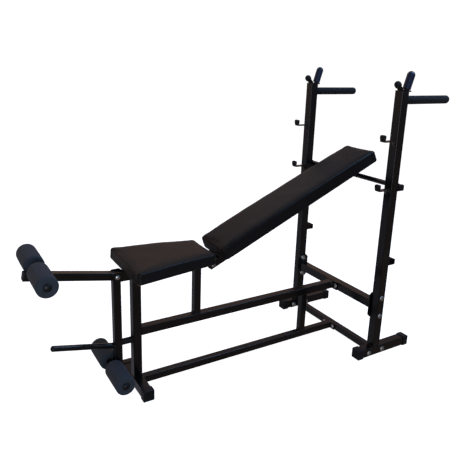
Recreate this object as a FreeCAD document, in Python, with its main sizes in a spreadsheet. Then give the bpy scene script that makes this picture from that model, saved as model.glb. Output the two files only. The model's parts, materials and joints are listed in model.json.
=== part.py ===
import FreeCAD, Part
import os
import re
import Sketcher
from FreeCAD import Placement, Rotation, Vector

# Adjustable weight bench: two uprights with barbell rests and dip handles, a seat, a tilting
# backrest on a loose support bar, and a leg lever with foam rollers and a weight peg.
# Frame: +X points to the uprights (rear), +Y to the right-hand upright of somebody who sits on
# the bench, +Z up. The origin lies on the floor under the middle of the bounding box.

doc = FreeCAD.newDocument("weight_bench")
sheet = doc.addObject("Spreadsheet::Sheet", "Sizes")

SIZES = [
    # square tubes and general fits
    ("main_tube", 40), ("main_wall", 2), ("strut_tube", 30), ("strut_wall", 1.5),
    ("rail_tube", 35), ("rail_wall", 2), ("tube_corner", 3),
    ("fit_gap", 0.3), ("pin_gap", 0.1), ("plug_depth", 14),
    # uprights and their feet
    ("upright_x", 578), ("upright_spacing", 560), ("upright_top", 1176),
    ("foot_ahead", 106), ("foot_behind", 208), ("foot_cap_wall", 2.2),
    ("foot_cap_length", 30), ("foot_cap_end", 3), ("front_foot_span", 258),
    # crossbars, rails, struts and their bolted flanges
    ("crossbar_z", 238), ("lower_bar_z", 19.5), ("flange_thick", 5), ("flange_width", 62),
    ("flange_height", 118), ("flange_pitch", 86), ("flange_chamfer", 12),
    ("foot_flange_length", 116), ("foot_flange_pitch", 82),
    ("rail_flange_length", 78), ("rail_flange_pitch", 56),
    ("front_post_ahead", 1032), ("seat_strut_ahead", 768), ("rear_strut_ahead", 199),
    # bolts
    ("bolt_radius", 5), ("bolt_head_radius", 10), ("bolt_head_height", 5.5),
    ("nut_radius", 9.8), ("nut_height", 8), ("bolt_tip", 3), ("hole_gap", 0.4),
    ("axle_radius", 6), ("screw_radius", 3), ("screw_head_radius", 6.5),
    ("screw_head_height", 3.2), ("screw_short", 1.5),
    # barbell cradles on top of the uprights
    ("cradle_thick", 5), ("cradle_overhang", 12), ("stub_radius", 10.5), ("stub_lean", 43.5),
    ("stub_length", 28), ("stub_inset", 11.5), ("stub_cap_radius", 14), ("stub_cap_length", 22),
    ("cradle_arm_radius", 10), ("cradle_arm_lean", 17.5), ("cradle_arm_length", 72),
    ("cradle_arm_offset", 21), ("sleeve_radius", 16.5), ("sleeve_start", 5), ("sleeve_end", 7),
    # dip handles
    ("dip_z", 1143), ("dip_bar_radius", 12.5), ("dip_bar_length", 252), ("grip_radius", 17.5),
    ("grip_start", 3), ("grip_end", 9), ("bar_wall", 2),
    # barbell hooks in front of the uprights
    ("hook_width", 25), ("hook_thick", 5), ("hook_reach", 62), ("hook_root", 18),
    ("hook_lip", 24), ("upper_hook_z", 976), ("lower_hook_z", 772),
    ("tip_width", 29), ("tip_depth", 16), ("tip_height", 22), ("tip_round", 6),
    # support bar of the backrest and the brackets that hold it
    ("bar_radius", 11), ("bar_behind", 18), ("bar_play", 1.8), ("bar_cap_radius", 13.5),
    ("bar_cap_end", 3.5), ("bracket_thick", 5), ("bracket_reach", 36),
    ("bracket_height", 34), ("bracket_lip", 24),
    # seat
    ("seat_ahead", 1082), ("seat_length", 354), ("seat_front_width", 322),
    ("seat_rear_width", 204), ("seat_top", 547), ("seat_foam", 36), ("board_thick", 10),
    ("board_inset", 5), ("pad_corner", 16), ("pad_edge", 9),
    ("seat_bolt_front", 960), ("seat_bolt_rear", 812),
    # backrest, in a frame of its own that starts at the hinge and runs along the rails
    ("back_angle", 24), ("back_hinge_ahead", 716.5), ("back_hinge_z", 476.5),
    ("back_start", 38), ("back_length", 870), ("back_width", 194), ("back_foam", 42),
    ("back_rail_spread", 64), ("back_rail_tail", 15), ("back_rail_short", 60), ("back_screw_low", 130),
    ("back_screw_high", 700), ("hinge_tube_radius", 10), ("spacer_thick", 1.2),
    ("spacer_radius", 12),
    # leg lever
    ("lever_ahead", 1108), ("lever_z", 488), ("lever_drop", 388), ("arm_tilt", 10.5),
    ("arm_length", 327), ("arm_tail", 20), ("clevis_gap", 1.5), ("clevis_thick", 5),
    ("clevis_height", 38), ("clevis_reach", 19), ("clevis_step", 29), ("bushing_radius", 9),
    ("rod_radius", 11), ("rod_wall", 2), ("upper_rod_reach", 289.6), ("lower_rod_drop", 370),
    ("roller_radius", 37), ("roller_inset", 26), ("upper_roller_length", 150),
    ("lower_roller_length", 136), ("roller_edge", 5), ("rod_stick_out", 2),
    ("rod_plug_radius", 13), ("rod_plug_height", 5),
    ("peg_radius", 11), ("peg_tilt", 12), ("peg_drop", 288), ("peg_length", 232),
    ("peg_collar", 3.5), ("peg_collar_rise", 2), ("peg_dome", 9),
    ("bumper_radius", 12.5), ("bumper_drop", 281),
]
for row, (alias, size) in enumerate(SIZES, start=1):
    sheet.set("A%d" % row, alias)
    sheet.set("B%d" % row, str(size))
    sheet.setAlias("B%d" % row, alias)
doc.recompute()

ALIASES = re.compile(r"\b(%s)\b" % "|".join(alias for alias, size in SIZES))
NODES = []

TO_X = (Vector(0, 1, 0), 90)
TO_MINUS_X = (Vector(0, 1, 0), -90)
TO_Y = (Vector(1, 0, 0), -90)
TO_MINUS_Y = (Vector(1, 0, 0), 90)
UPRIGHT = (Vector(0, 0, 1), 0)
UPSIDE_DOWN = (Vector(1, 0, 0), 180)
SIDES = [("left", "-", TO_Y, TO_MINUS_Y), ("right", "+", TO_MINUS_Y, TO_Y)]

# places that several pieces share, as text for the expressions
REAR_X = "upright_x"
FOOT_LIFT = "(foot_cap_wall + fit_gap)"
FOOT_Z = "(%s + main_tube / 2)" % FOOT_LIFT
FRONT_X = "(upright_x - front_post_ahead)"
SEAT_BOTTOM = "(seat_top - seat_foam - board_thick)"
CARRIER_Z = "(%s - strut_tube / 2)" % SEAT_BOTTOM
UPPER_RAIL_Z = "(crossbar_z + main_tube / 2 - rail_tube / 2)"
BACK_HINGE_X = "(upright_x - back_hinge_ahead)"
LEVER_X = "(upright_x - lever_ahead)"
BAR_X = "(upright_x + main_tube / 2 + bar_behind)"
BAR_REACH = "(strut_tube / 2 + bar_radius + fit_gap)"
BAR_Z = ("(back_hinge_z + ((main_tube / 2 + bar_behind + back_hinge_ahead) * sin(back_angle)"
         " - %s) / cos(back_angle))" % BAR_REACH)
LOW_BAR_Z = "(back_hinge_z - %s)" % BAR_REACH


def sized(text):
    """Point the plain names in an expression at the sheet."""
    return ALIASES.sub(r"Sizes.\1", str(text))


def bind(thing, **sizes):
    """Bind properties of an object to expressions."""
    for name, text in sizes.items():
        thing.setExpression(name, sized(text))


def place(thing, x, y, z, turn=UPRIGHT, angle=None):
    """Put an object at bound coordinates, turned about an axis."""
    axis, degrees = turn
    thing.Placement = Placement(Vector(), Rotation(axis, degrees))
    if angle is not None:
        thing.Placement = Placement(Vector(), Rotation(axis, 1))
        thing.setExpression("Placement.Rotation.Angle", sized(angle))
    for letter, text in zip("xyz", (x, y, z)):
        thing.setExpression("Placement.Base." + letter, sized(text))
    return thing


def node(thing, label):
    """Register an object as a sub-part that gets a file of its own."""
    thing.Label = label
    NODES.append(thing)
    return thing


def group(label, members):
    """Collect separate solids of the same kind in one sub-part."""
    compound = doc.addObject("Part::Compound", label)
    compound.Links = members
    return node(compound, label)


def add_sketch(body, plane, outlines=(), circles=()):
    """Sketch closed outlines and circles whose points are bound to the sheet."""
    sketch = body.newObject("Sketcher::SketchObject", "Sketch")
    base = [item for item in body.Origin.OriginFeatures if item.Role == plane][0]
    sketch.AttachmentSupport = [(base, "")]
    sketch.MapMode = "FlatFace"

    def fix(geometry, point, across, up):
        for kind, text in (("DistanceX", across), ("DistanceY", up)):
            number = sketch.addConstraint(Sketcher.Constraint(kind, geometry, point, 1.0))
            sketch.setExpression("Constraints[%d]" % number, sized(text))

    for points in outlines:
        count = len(points)
        guess = [Rotation(Vector(0, 0, 1), 360.0 * i / count).multVec(Vector(50, 0, 0))
                 for i in range(count)]
        lines = [sketch.addGeometry(Part.LineSegment(guess[i], guess[(i + 1) % count]), False)
                 for i in range(count)]
        for i, line in enumerate(lines):
            following = lines[(i + 1) % count]
            sketch.addConstraint(Sketcher.Constraint("Coincident", line, 2, following, 1))
        for line, (across, up) in zip(lines, points):
            fix(line, 1, across, up)
    for across, up, radius in circles:
        circle = sketch.addGeometry(Part.Circle(Vector(), Vector(0, 0, 1), 5), False)
        fix(circle, 3, across, up)
        number = sketch.addConstraint(Sketcher.Constraint("Radius", circle, 5.0))
        sketch.setExpression("Constraints[%d]" % number, sized(radius))
    return sketch


def rectangle(width, height):
    """Corners of a rectangle about the sketch's origin."""
    across, up = "(%s) / 2" % width, "(%s) / 2" % height
    return [("-(%s)" % across, "-(%s)" % up), (across, "-(%s)" % up),
            (across, up), ("-(%s)" % across, up)]


def extrude(name, plane, length, outlines=(), circles=(), symmetric=True):
    """Make a body by padding a sketch on one of its origin planes."""
    body = doc.addObject("PartDesign::Body", name)
    pad = body.newObject("PartDesign::Pad", "Pad")
    pad.Profile = add_sketch(body, plane, outlines, circles)
    if symmetric:
        pad.SideType = "Symmetric"
    bind(pad, Length=length)
    doc.recompute()
    return body


def drill(body, plane, circles):
    """Cut round holes right through a body."""
    before = body.Shape.Volume
    pocket = body.newObject("PartDesign::Pocket", "Holes")
    pocket.Profile = add_sketch(body, plane, circles=circles)
    pocket.SideType = "Symmetric"
    pocket.Type = "ThroughAll"
    doc.recompute()
    if body.Shape.Volume >= before:
        raise ValueError("the holes missed " + body.Name)
    return body


def round_edges(body, radius, wanted):
    """Fillet the edges that a test picks."""
    tip = body.Tip
    names = ["Edge%d" % number for number, edge in enumerate(tip.Shape.Edges, start=1)
             if wanted(edge)]
    fillet = body.newObject("PartDesign::Fillet", "Fillet")
    fillet.Base = (tip, names)
    bind(fillet, Radius=radius)
    doc.recompute()
    return body


def runs_along(edge, axis):
    """Tell whether a straight edge is parallel to an axis."""
    if edge.Curve.TypeId != "Part::GeomLine":
        return False
    return abs(edge.tangentAt(edge.FirstParameter).dot(axis)) > 0.999


def at_rim(edge, axis, box):
    """Tell whether an edge along an axis is an outer corner of its box."""
    middle = edge.CenterOfMass
    limits = ((middle.x, box.XMin, box.XMax, axis.x), (middle.y, box.YMin, box.YMax, axis.y),
              (middle.z, box.ZMin, box.ZMax, axis.z))
    return all(abs(along) > 0.5 or min(abs(at - low), abs(at - high)) < 0.01
               for at, low, high, along in limits)


AXES = {"X": (Vector(1, 0, 0), "YZ_Plane"), "Y": (Vector(0, 1, 0), "XZ_Plane"),
        "Z": (Vector(0, 0, 1), "XY_Plane")}


def square_tube(name, along, size, wall, length):
    """Make a square tube about its own middle, with rounded long edges."""
    axis, plane = AXES[along]
    inside = "%s - 2 * %s" % (size, wall)
    body = extrude(name, plane, length, [rectangle(size, size), rectangle(inside, inside)])
    box = body.Shape.BoundBox
    round_edges(body, "tube_corner",
                lambda edge: runs_along(edge, axis) and at_rim(edge, axis, box))
    return body


def rod(name, radius, length, bore=None):
    """Make a round rod, or a pipe when a bore is given, from its own origin up +Z."""
    outside = doc.addObject("Part::Cylinder", name)
    bind(outside, Radius=radius, Height=length)
    if bore is None:
        return outside
    inside = doc.addObject("Part::Cylinder", name + "_bore")
    bind(inside, Radius=bore, Height="(%s) + 2" % length)
    place(inside, 0, 0, -1)
    pipe = doc.addObject("Part::Cut", name)
    pipe.Base = outside
    pipe.Tool = inside
    return pipe


def block(name, length, width, height, x, y, z):
    """Make a box whose given corner is its lowest one."""
    box = doc.addObject("Part::Box", name)
    bind(box, Length=length, Width=width, Height=height)
    return place(box, x, y, z)


def dome(name, radius, height, angles=(0, 90)):
    """Make one half of an ellipsoid about +Z."""
    half = doc.addObject("Part::Ellipsoid", name)
    half.Angle1, half.Angle2 = angles
    bind(half, Radius1=height, Radius2=radius, Radius3=radius)
    return half


def fuse(name, members):
    """Join overlapping primitives into one solid."""
    joined = doc.addObject("Part::MultiFuse", name)
    joined.Shapes = members
    return joined


def cut(name, base, tool):
    """Take one object away from another."""
    remains = doc.addObject("Part::Cut", name)
    remains.Base = base
    remains.Tool = tool
    return remains


def bolt(name, grip, radius="bolt_radius", head="bolt_head_radius",
         head_height="bolt_head_height", tail="nut_height + bolt_tip"):
    """Make a dome-headed bolt: the head sits below z = 0 and the shank runs up."""
    shank = rod(name + "_shank", radius, "%s + %s" % (grip, tail))
    cap = dome(name + "_head", head, head_height, (-90, 0))
    return fuse(name, [shank, cap])


def nut(name, radius="bolt_radius", size="nut_radius", height="nut_height"):
    """Make a hexagonal nut that stands on z = 0."""
    hexagon = doc.addObject("Part::Prism", name + "_hexagon")
    hexagon.Polygon = 6
    bind(hexagon, Circumradius=size, Height=height)
    thread = rod(name + "_thread", "%s + hole_gap / 2" % radius, "(%s) + 2" % height)
    place(thread, 0, 0, -1)
    return cut(name, hexagon, thread)


def end_cap(name, inner, wall, length, end):
    """Make a hollow square cap: its mouth is at z = 0 and its end points up +Z."""
    outer = "%s + 2 * %s" % (inner, wall)
    cap = extrude(name, "XY_Plane", length, [rectangle(outer, outer)], symmetric=False)
    round_edges(cap, "%s * 0.9" % wall, lambda edge: edge.CenterOfMass.z > 0.1)
    before = cap.Shape.Volume
    pocket = cap.newObject("PartDesign::Pocket", "Socket")
    pocket.Profile = add_sketch(cap, "XY_Plane", [rectangle(inner, inner)])
    pocket.Reversed = True
    bind(pocket, Length="%s - %s" % (length, end))
    doc.recompute()
    if cap.Shape.Volume >= before:
        raise ValueError("the socket missed " + name)
    return cap


def tube_plug(name, size, wall, head):
    """Make a square plug: its spigot goes down -Z into a tube and its head stands on z = 0."""
    inside = "%s - 2 * %s - 2 * fit_gap" % (size, wall)
    top = extrude(name + "_head", "XY_Plane", head, [rectangle(size, size)], symmetric=False)
    round_edges(top, "tube_corner * 0.6", lambda edge: edge.CenterOfMass.z > 0.1)
    spigot = extrude(name + "_spigot", "XY_Plane", "plug_depth + 1",
                     [rectangle(inside, inside)], symmetric=False)
    place(spigot, 0, 0, "-plug_depth")
    return fuse(name, [top, spigot])


def side_y(sign, distance):
    """Give the y of something at a distance from the middle plane."""
    return "%s(%s)" % ("-" if sign == "-" else "", distance)


def make_feet():
    """Fore-and-aft foot bars under the uprights, the front foot bar and all their caps."""
    length = "foot_ahead + foot_behind - 2 * foot_cap_end"
    middle = "upright_x + (foot_behind - foot_ahead) / 2"
    inner = "main_tube + 2 * fit_gap"
    caps = []
    for side, sign, inward, outward in SIDES:
        bar = square_tube(side + "_foot_bar", "X", "main_tube", "main_wall", length)
        drill(bar, "XZ_Plane",
              [("upright_x - (%s) %s foot_flange_pitch / 2" % (middle, end),
                "lower_bar_z - " + FOOT_Z, "bolt_radius + hole_gap") for end in "-+"])
        across = side_y(sign, "upright_spacing / 2")
        place(bar, middle, across, FOOT_Z)
        node(bar, side + "_foot_bar")
        for end, turn, reach in (("front", TO_MINUS_X, "-(foot_ahead - foot_cap_length)"),
                                 ("rear", TO_X, "foot_behind - foot_cap_length")):
            cap = end_cap("%s_%s_cap" % (side, end), inner, "foot_cap_wall",
                          "foot_cap_length", "foot_cap_end")
            caps.append(place(cap, "upright_x + " + reach, across, FOOT_Z, turn))
    group("rear_foot_caps", caps)

    bar = square_tube("front_foot_bar", "Y", "main_tube", "main_wall",
                      "front_foot_span - 2 * foot_cap_end")
    node(place(bar, FRONT_X, 0, FOOT_Z), "front_foot_bar")
    caps = []
    for side, sign, inward, outward in SIDES:
        cap = end_cap(side + "_front_foot_cap", inner, "foot_cap_wall",
                      "foot_cap_length", "foot_cap_end")
        reach = side_y(sign, "front_foot_span / 2 - foot_cap_length")
        caps.append(place(cap, FRONT_X, reach, FOOT_Z, outward))
    group("front_foot_caps", caps)


def make_uprights():
    """The two uprights, drilled for the bolts of the upper crossbar."""
    bottom = "(%s + main_tube / 2)" % FOOT_Z
    for side, sign, inward, outward in SIDES:
        post = square_tube(side + "_upright", "Z", "main_tube", "main_wall",
                           "upright_top - " + bottom)
        middle = "(upright_top + %s) / 2" % bottom
        drill(post, "XZ_Plane",
              [(0, "crossbar_z - %s %s flange_pitch / 2" % (middle, end),
                "bolt_radius + hole_gap") for end in "-+"])
        place(post, REAR_X, side_y(sign, "upright_spacing / 2"), middle)
        node(post, side + "_upright")


def make_crossbars():
    """Two crossbars between the uprights, with a bolted flange at each end."""
    length = "upright_spacing - main_tube - 2 * flange_thick"
    upper = square_tube("upper_crossbar", "Y", "main_tube", "main_wall", length)
    drill(upper, "YZ_Plane",
          [("%srail_flange_pitch / 2" % sign, 0, "bolt_radius + hole_gap") for sign in "-+"])
    node(place(upper, REAR_X, 0, "crossbar_z"), "upper_crossbar")
    lower = square_tube("lower_crossbar", "Y", "strut_tube", "strut_wall", length)
    drill(lower, "YZ_Plane",
          [("%srail_flange_pitch / 2" % sign, 0, "bolt_radius + hole_gap") for sign in "-+"])
    node(place(lower, REAR_X, 0, "lower_bar_z"), "lower_crossbar")

    wide, tall, corner = "flange_width / 2", "flange_height / 2", "flange_chamfer"
    tall_outline = [("-%s" % wide, "-(%s - %s)" % (tall, corner)),
                    ("-(%s - %s)" % (wide, corner), "-%s" % tall),
                    ("%s - %s" % (wide, corner), "-%s" % tall),
                    (wide, "-(%s - %s)" % (tall, corner)),
                    (wide, "%s - %s" % (tall, corner)),
                    ("%s - %s" % (wide, corner), tall),
                    ("-(%s - %s)" % (wide, corner), tall),
                    ("-%s" % wide, "%s - %s" % (tall, corner))]
    flanges = []
    for side, sign, inward, outward in SIDES:
        across = side_y(sign, "upright_spacing / 2 - main_tube / 2 - flange_thick / 2")
        plate = extrude(side + "_upper_flange", "XZ_Plane", "flange_thick", [tall_outline],
                        [(0, "%sflange_pitch / 2" % end, "bolt_radius + hole_gap")
                         for end in "-+"])
        flanges.append(place(plate, REAR_X, across, "crossbar_z"))
        plate = extrude(side + "_lower_flange", "XZ_Plane", "flange_thick",
                        [rectangle("foot_flange_length", "strut_tube")],
                        [("%sfoot_flange_pitch / 2" % end, 0, "bolt_radius + hole_gap")
                         for end in "-+"])
        flanges.append(place(plate, REAR_X, across, "lower_bar_z"))
    group("crossbar_flanges", flanges)


def make_spine():
    """Front post, the two rails that run back from it, and the struts between them."""
    front_face = "(upright_x - main_tube / 2 - flange_thick)"
    back_face = "(%s + rail_tube / 2)" % FRONT_X
    rail = square_tube("upper_rail", "X", "rail_tube", "rail_wall",
                       "%s - %s" % (front_face, back_face))
    node(place(rail, "(%s + %s) / 2" % (front_face, back_face), 0, UPPER_RAIL_Z),
         "upper_rail")

    low_front = "(upright_x - strut_tube / 2 - flange_thick)"
    foot_back = "(%s + main_tube / 2)" % FRONT_X
    rail = square_tube("lower_rail", "X", "strut_tube", "strut_wall",
                       "%s - %s" % (low_front, foot_back))
    node(place(rail, "(%s + %s) / 2" % (low_front, foot_back), 0, "lower_bar_z"),
         "lower_rail")

    plates = []
    for name, height, face, up in (
            ("upper_rail_flange", "main_tube", front_face, "crossbar_z"),
            ("lower_rail_flange", "strut_tube", low_front, "lower_bar_z")):
        plate = extrude(name, "YZ_Plane", "flange_thick",
                        [rectangle("rail_flange_length", height)],
                        [("%srail_flange_pitch / 2" % sign, 0, "bolt_radius + hole_gap")
                         for sign in "-+"])
        plates.append(place(plate, "%s + flange_thick / 2" % face, 0, up))
    group("rail_flanges", plates)

    foot_top = "(%s + main_tube / 2)" % FOOT_Z
    post = square_tube("front_post", "Z", "rail_tube", "rail_wall",
                       "%s - %s" % (SEAT_BOTTOM, foot_top))
    node(place(post, FRONT_X, 0, "(%s + %s) / 2" % (SEAT_BOTTOM, foot_top)), "front_post")

    low, high = "(lower_bar_z + strut_tube / 2)", "(%s - rail_tube / 2)" % UPPER_RAIL_Z
    strut = square_tube("rear_strut", "Z", "strut_tube", "strut_wall",
                        "%s - %s" % (high, low))
    node(place(strut, "upright_x - rear_strut_ahead", 0, "(%s + %s) / 2" % (high, low)),
         "rear_strut")

    low = "(%s + rail_tube / 2)" % UPPER_RAIL_Z
    high = "(%s - strut_tube / 2)" % CARRIER_Z
    strut = square_tube("seat_strut", "Z", "strut_tube", "strut_wall",
                        "%s - %s" % (high, low))
    node(place(strut, "upright_x - seat_strut_ahead", 0, "(%s + %s) / 2" % (high, low)),
         "seat_strut")


def make_frame_bolts():
    """Bolts and nuts that join the crossbars to the uprights, the feet and the rails."""
    bolts, nuts = [], []

    def fasten(name, grip, x, y, z, turn, far):
        bolts.append(place(bolt(name + "_bolt", grip), x, y, z, turn))
        nuts.append(place(nut(name + "_nut"), *far, turn))

    through = "(main_tube + flange_thick)"
    for side, sign, inward, outward in SIDES:
        outer = side_y(sign, "upright_spacing / 2 + main_tube / 2")
        inner = side_y(sign, "upright_spacing / 2 - main_tube / 2 - flange_thick")
        for end in "-+":
            up = "crossbar_z %s flange_pitch / 2" % end
            fasten(side + "_upright", through, REAR_X, outer, up, inward,
                   (REAR_X, inner, up))
            along = "upright_x %s foot_flange_pitch / 2" % end
            fasten(side + "_foot", through, along, outer, "lower_bar_z", inward,
                   (along, inner, "lower_bar_z"))
    for name, tube, up in (("upper_rail", "main_tube", "crossbar_z"),
                           ("lower_rail", "strut_tube", "lower_bar_z")):
        front = "upright_x - %s / 2 - flange_thick" % tube
        back = "upright_x + %s / 2" % tube
        for side, sign, inward, outward in SIDES:
            across = side_y(sign, "rail_flange_pitch / 2")
            fasten("%s_%s" % (name, side), "(%s + flange_thick)" % tube, front, across, up,
                   TO_X, (back, across, up))
    group("frame_bolts", bolts)
    group("frame_nuts", nuts)


def make_cradles():
    """Barbell cradles: a top plate with a short capped stub and a long sleeved arm."""
    top = "(upright_top + cradle_thick)"
    plates, stubs, stub_caps, arms, sleeves = [], [], [], [], []
    for side, sign, inward, outward in SIDES:
        across = side_y(sign, "upright_spacing / 2")
        plate = extrude(side + "_cradle_plate", "XY_Plane", "cradle_thick",
                        [rectangle("main_tube + cradle_overhang", "main_tube")],
                        symmetric=False)
        round_edges(plate, "tube_corner", lambda edge: runs_along(edge, Vector(0, 0, 1)))
        plates.append(place(plate, "upright_x + cradle_overhang / 2", across, "upright_top"))

        foot = block(side + "_stub_foot", "2 * main_tube", "main_tube", "main_tube",
                     "upright_x - main_tube", side_y(sign, "upright_spacing / 2")
                     + " - main_tube / 2", "%s - main_tube" % top)
        leaning = rod(side + "_stub_rod", "stub_radius", "stub_length + stub_radius")
        base = "upright_x - main_tube / 2 + stub_inset"
        place(leaning, "%s + stub_radius * sin(stub_lean)" % base, across,
              "%s - stub_radius * cos(stub_lean)" % top, (Vector(0, -1, 0), 0), "stub_lean")
        stubs.append(cut(side + "_cradle_stub", leaning, foot))

        rubber = fuse(side + "_stub_rubber", [
            rod(side + "_cap_wall", "stub_cap_radius", "stub_cap_length - stub_cap_radius"),
            place(dome(side + "_cap_end", "stub_cap_radius", "stub_cap_radius"),
                  0, 0, "stub_cap_length - stub_cap_radius")])
        socket = rod(side + "_cap_socket", "stub_radius + fit_gap", "stub_cap_length * 0.6")
        hollow = cut(side + "_stub_cap", rubber, place(socket, 0, 0, "-0.4 * stub_cap_length"
                                                       " + fit_gap"))
        reach = "(stub_length - 0.2 * stub_cap_length)"
        place(hollow, "%s - %s * sin(stub_lean)" % (base, reach), across,
              "%s + %s * cos(stub_lean)" % (top, reach), (Vector(0, -1, 0), 0), "stub_lean")
        stub_caps.append(hollow)

        lean = (Vector(0, 1, 0), 0)
        root = block(side + "_arm_foot", "2 * main_tube", "main_tube", "main_tube",
                     "upright_x - main_tube", side_y(sign, "upright_spacing / 2")
                     + " - main_tube / 2", "%s - main_tube" % top)
        arm = rod(side + "_arm_rod", "cradle_arm_radius",
                  "cradle_arm_length + cradle_arm_radius")
        arm_x = "upright_x + cradle_arm_offset"
        place(arm, "%s - cradle_arm_radius * sin(cradle_arm_lean)" % arm_x, across,
              "%s - cradle_arm_radius * cos(cradle_arm_lean)" % top, lean, "cradle_arm_lean")
        arms.append(cut(side + "_cradle_arm", arm, root))

        length = "(cradle_arm_length + sleeve_end - sleeve_start - sleeve_radius)"
        foam = fuse(side + "_sleeve_foam", [
            rod(side + "_sleeve_wall", "sleeve_radius", length),
            place(dome(side + "_sleeve_tip", "sleeve_radius", "sleeve_radius"),
                  0, 0, length)])
        inside = rod(side + "_sleeve_bore", "cradle_arm_radius + fit_gap",
                     "cradle_arm_length - sleeve_start + fit_gap + 1")
        sleeve = cut(side + "_cradle_sleeve", foam, place(inside, 0, 0, -1))
        place(sleeve, "%s + sleeve_start * sin(cradle_arm_lean)" % arm_x, across,
              "%s + sleeve_start * cos(cradle_arm_lean)" % top, lean, "cradle_arm_lean")
        sleeves.append(sleeve)
    group("cradle_plates", plates)
    group("cradle_stubs", stubs)
    group("cradle_stub_caps", stub_caps)
    group("cradle_arms", arms)
    group("cradle_sleeves", sleeves)


def make_dip_handles():
    """Dip handles behind the tops of the uprights: a pipe in a foam grip with a round end."""
    bars, grips = [], []
    for side, sign, inward, outward in SIDES:
        across = side_y(sign, "upright_spacing / 2")
        bar = rod(side + "_dip_bar", "dip_bar_radius", "dip_bar_length",
                  "dip_bar_radius - bar_wall")
        bars.append(place(bar, "upright_x + main_tube / 2", across, "dip_z", TO_X))
        length = "(dip_bar_length - grip_start + grip_end - grip_radius / 2)"
        foam = fuse(side + "_grip_foam", [
            rod(side + "_grip_wall", "grip_radius", length),
            place(dome(side + "_grip_tip", "grip_radius", "grip_radius / 2"), 0, 0, length)])
        inside = rod(side + "_grip_bore", "dip_bar_radius + fit_gap",
                     "dip_bar_length - grip_start + fit_gap + 1")
        grip = cut(side + "_dip_grip", foam, place(inside, 0, 0, -1))
        place(grip, "upright_x + main_tube / 2 + grip_start", across, "dip_z", TO_X)
        grips.append(grip)
    group("dip_bars", bars)
    group("dip_grips", grips)


def make_hooks():
    """Flat barbell hooks in front of the uprights, each with a rubber tip."""
    tips = []
    face = "(upright_x - main_tube / 2)"
    for level in ("upper", "lower"):
        up = level + "_hook_z"
        hooks = []
        for side, sign, inward, outward in SIDES:
            across = side_y(sign, "upright_spacing / 2")
            profile = [(0, "-hook_root"), (0, "hook_thick"),
                       ("-(hook_reach - hook_thick)", "hook_thick"),
                       ("-(hook_reach - hook_thick)", "hook_lip"),
                       ("-hook_reach", "hook_lip"), ("-hook_reach", 0),
                       ("-hook_thick", 0), ("-hook_thick", "-hook_root")]
            hook = extrude("%s_%s_hook" % (side, level), "XZ_Plane", "hook_width", [profile])
            round_edges(hook, "hook_thick * 0.8",
                        lambda edge: runs_along(edge, Vector(0, 1, 0))
                        and edge.CenterOfMass.x < -1
                        and abs(edge.CenterOfMass.z - 0) < 0.01)
            hooks.append(place(hook, face, across, up))
            rubber = extrude("%s_%s_tip_rubber" % (side, level), "XY_Plane", "tip_height",
                             [rectangle("tip_depth", "tip_width")])
            round_edges(rubber, "tip_round", lambda edge: True)
            floor = "(hook_thick + fit_gap)"
            socket = block("%s_%s_tip_socket" % (side, level), "hook_thick + 2 * fit_gap",
                           "hook_width + 2 * fit_gap", "hook_lip - %s + fit_gap + 1" % floor,
                           "-hook_thick / 2 - fit_gap", "-hook_width / 2 - fit_gap",
                           "-tip_height / 2 - 1")
            tip = cut("%s_%s_hook_tip" % (side, level), rubber, socket)
            middle = floor + " + tip_height / 2"
            place(tip, "%s - hook_reach + hook_thick / 2" % face, across,
                  "%s + %s" % (up, middle))
            tips.append(tip)
        group(level + "_hooks", hooks)
    group("hook_tips", tips)


def make_bar_brackets():
    """J-shaped brackets behind the uprights that the support bar lies in."""
    for level, bar_z in (("upper", BAR_Z), ("lower", LOW_BAR_Z)):
        brackets = []
        for side, sign, inward, outward in SIDES:
            reach, thick = "bracket_reach", "bracket_thick"
            profile = [(0, 0), (reach, 0), (reach, "bracket_lip"),
                       ("%s - %s" % (reach, thick), "bracket_lip"),
                       ("%s - %s" % (reach, thick), thick), (thick, thick),
                       (thick, "bracket_height"), (0, "bracket_height")]
            bracket = extrude("%s_%s_bracket" % (side, level), "XZ_Plane", "main_tube",
                              [profile])
            round_edges(bracket, "bracket_thick * 0.8",
                        lambda edge: runs_along(edge, Vector(0, 1, 0))
                        and abs(edge.CenterOfMass.z) < 0.01 and edge.CenterOfMass.x > 1)
            floor = "%s - bar_radius - fit_gap - bracket_thick" % bar_z
            place(bracket, "upright_x + main_tube / 2",
                  side_y(sign, "upright_spacing / 2"), floor)
            brackets.append(bracket)
        group(level + "_bar_brackets", brackets)


def make_support_bar():
    """Loose bar under the backrest, with a wider plug at each end that stops it sliding out."""
    face = "(upright_spacing / 2 + main_tube / 2 + bar_play)"
    bar = rod("support_pipe", "bar_radius", "2 * " + face, "bar_radius - bar_wall")
    node(place(bar, BAR_X, "-" + face, BAR_Z, TO_Y), "support_bar")
    caps = []
    for side, sign, inward, outward in SIDES:
        cap = fuse(side + "_bar_cap", [
            dome(side + "_bar_cap_head", "bar_cap_radius", "bar_cap_end"),
            place(rod(side + "_bar_cap_spigot", "bar_radius - bar_wall - fit_gap",
                      "plug_depth + 1"), 0, 0, "-plug_depth")])
        caps.append(place(cap, BAR_X, side_y(sign, face), BAR_Z, outward))
    group("support_bar_caps", caps)


def pad_outline(inset):
    """Outline of the seat seen from above, wide at the front."""
    front, rear = "(seat_front_width / 2 - %s)" % inset, "(seat_rear_width / 2 - %s)" % inset
    return [(inset, "-" + front), ("seat_length - " + inset, "-" + rear),
            ("seat_length - " + inset, rear), (inset, front)]


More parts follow.
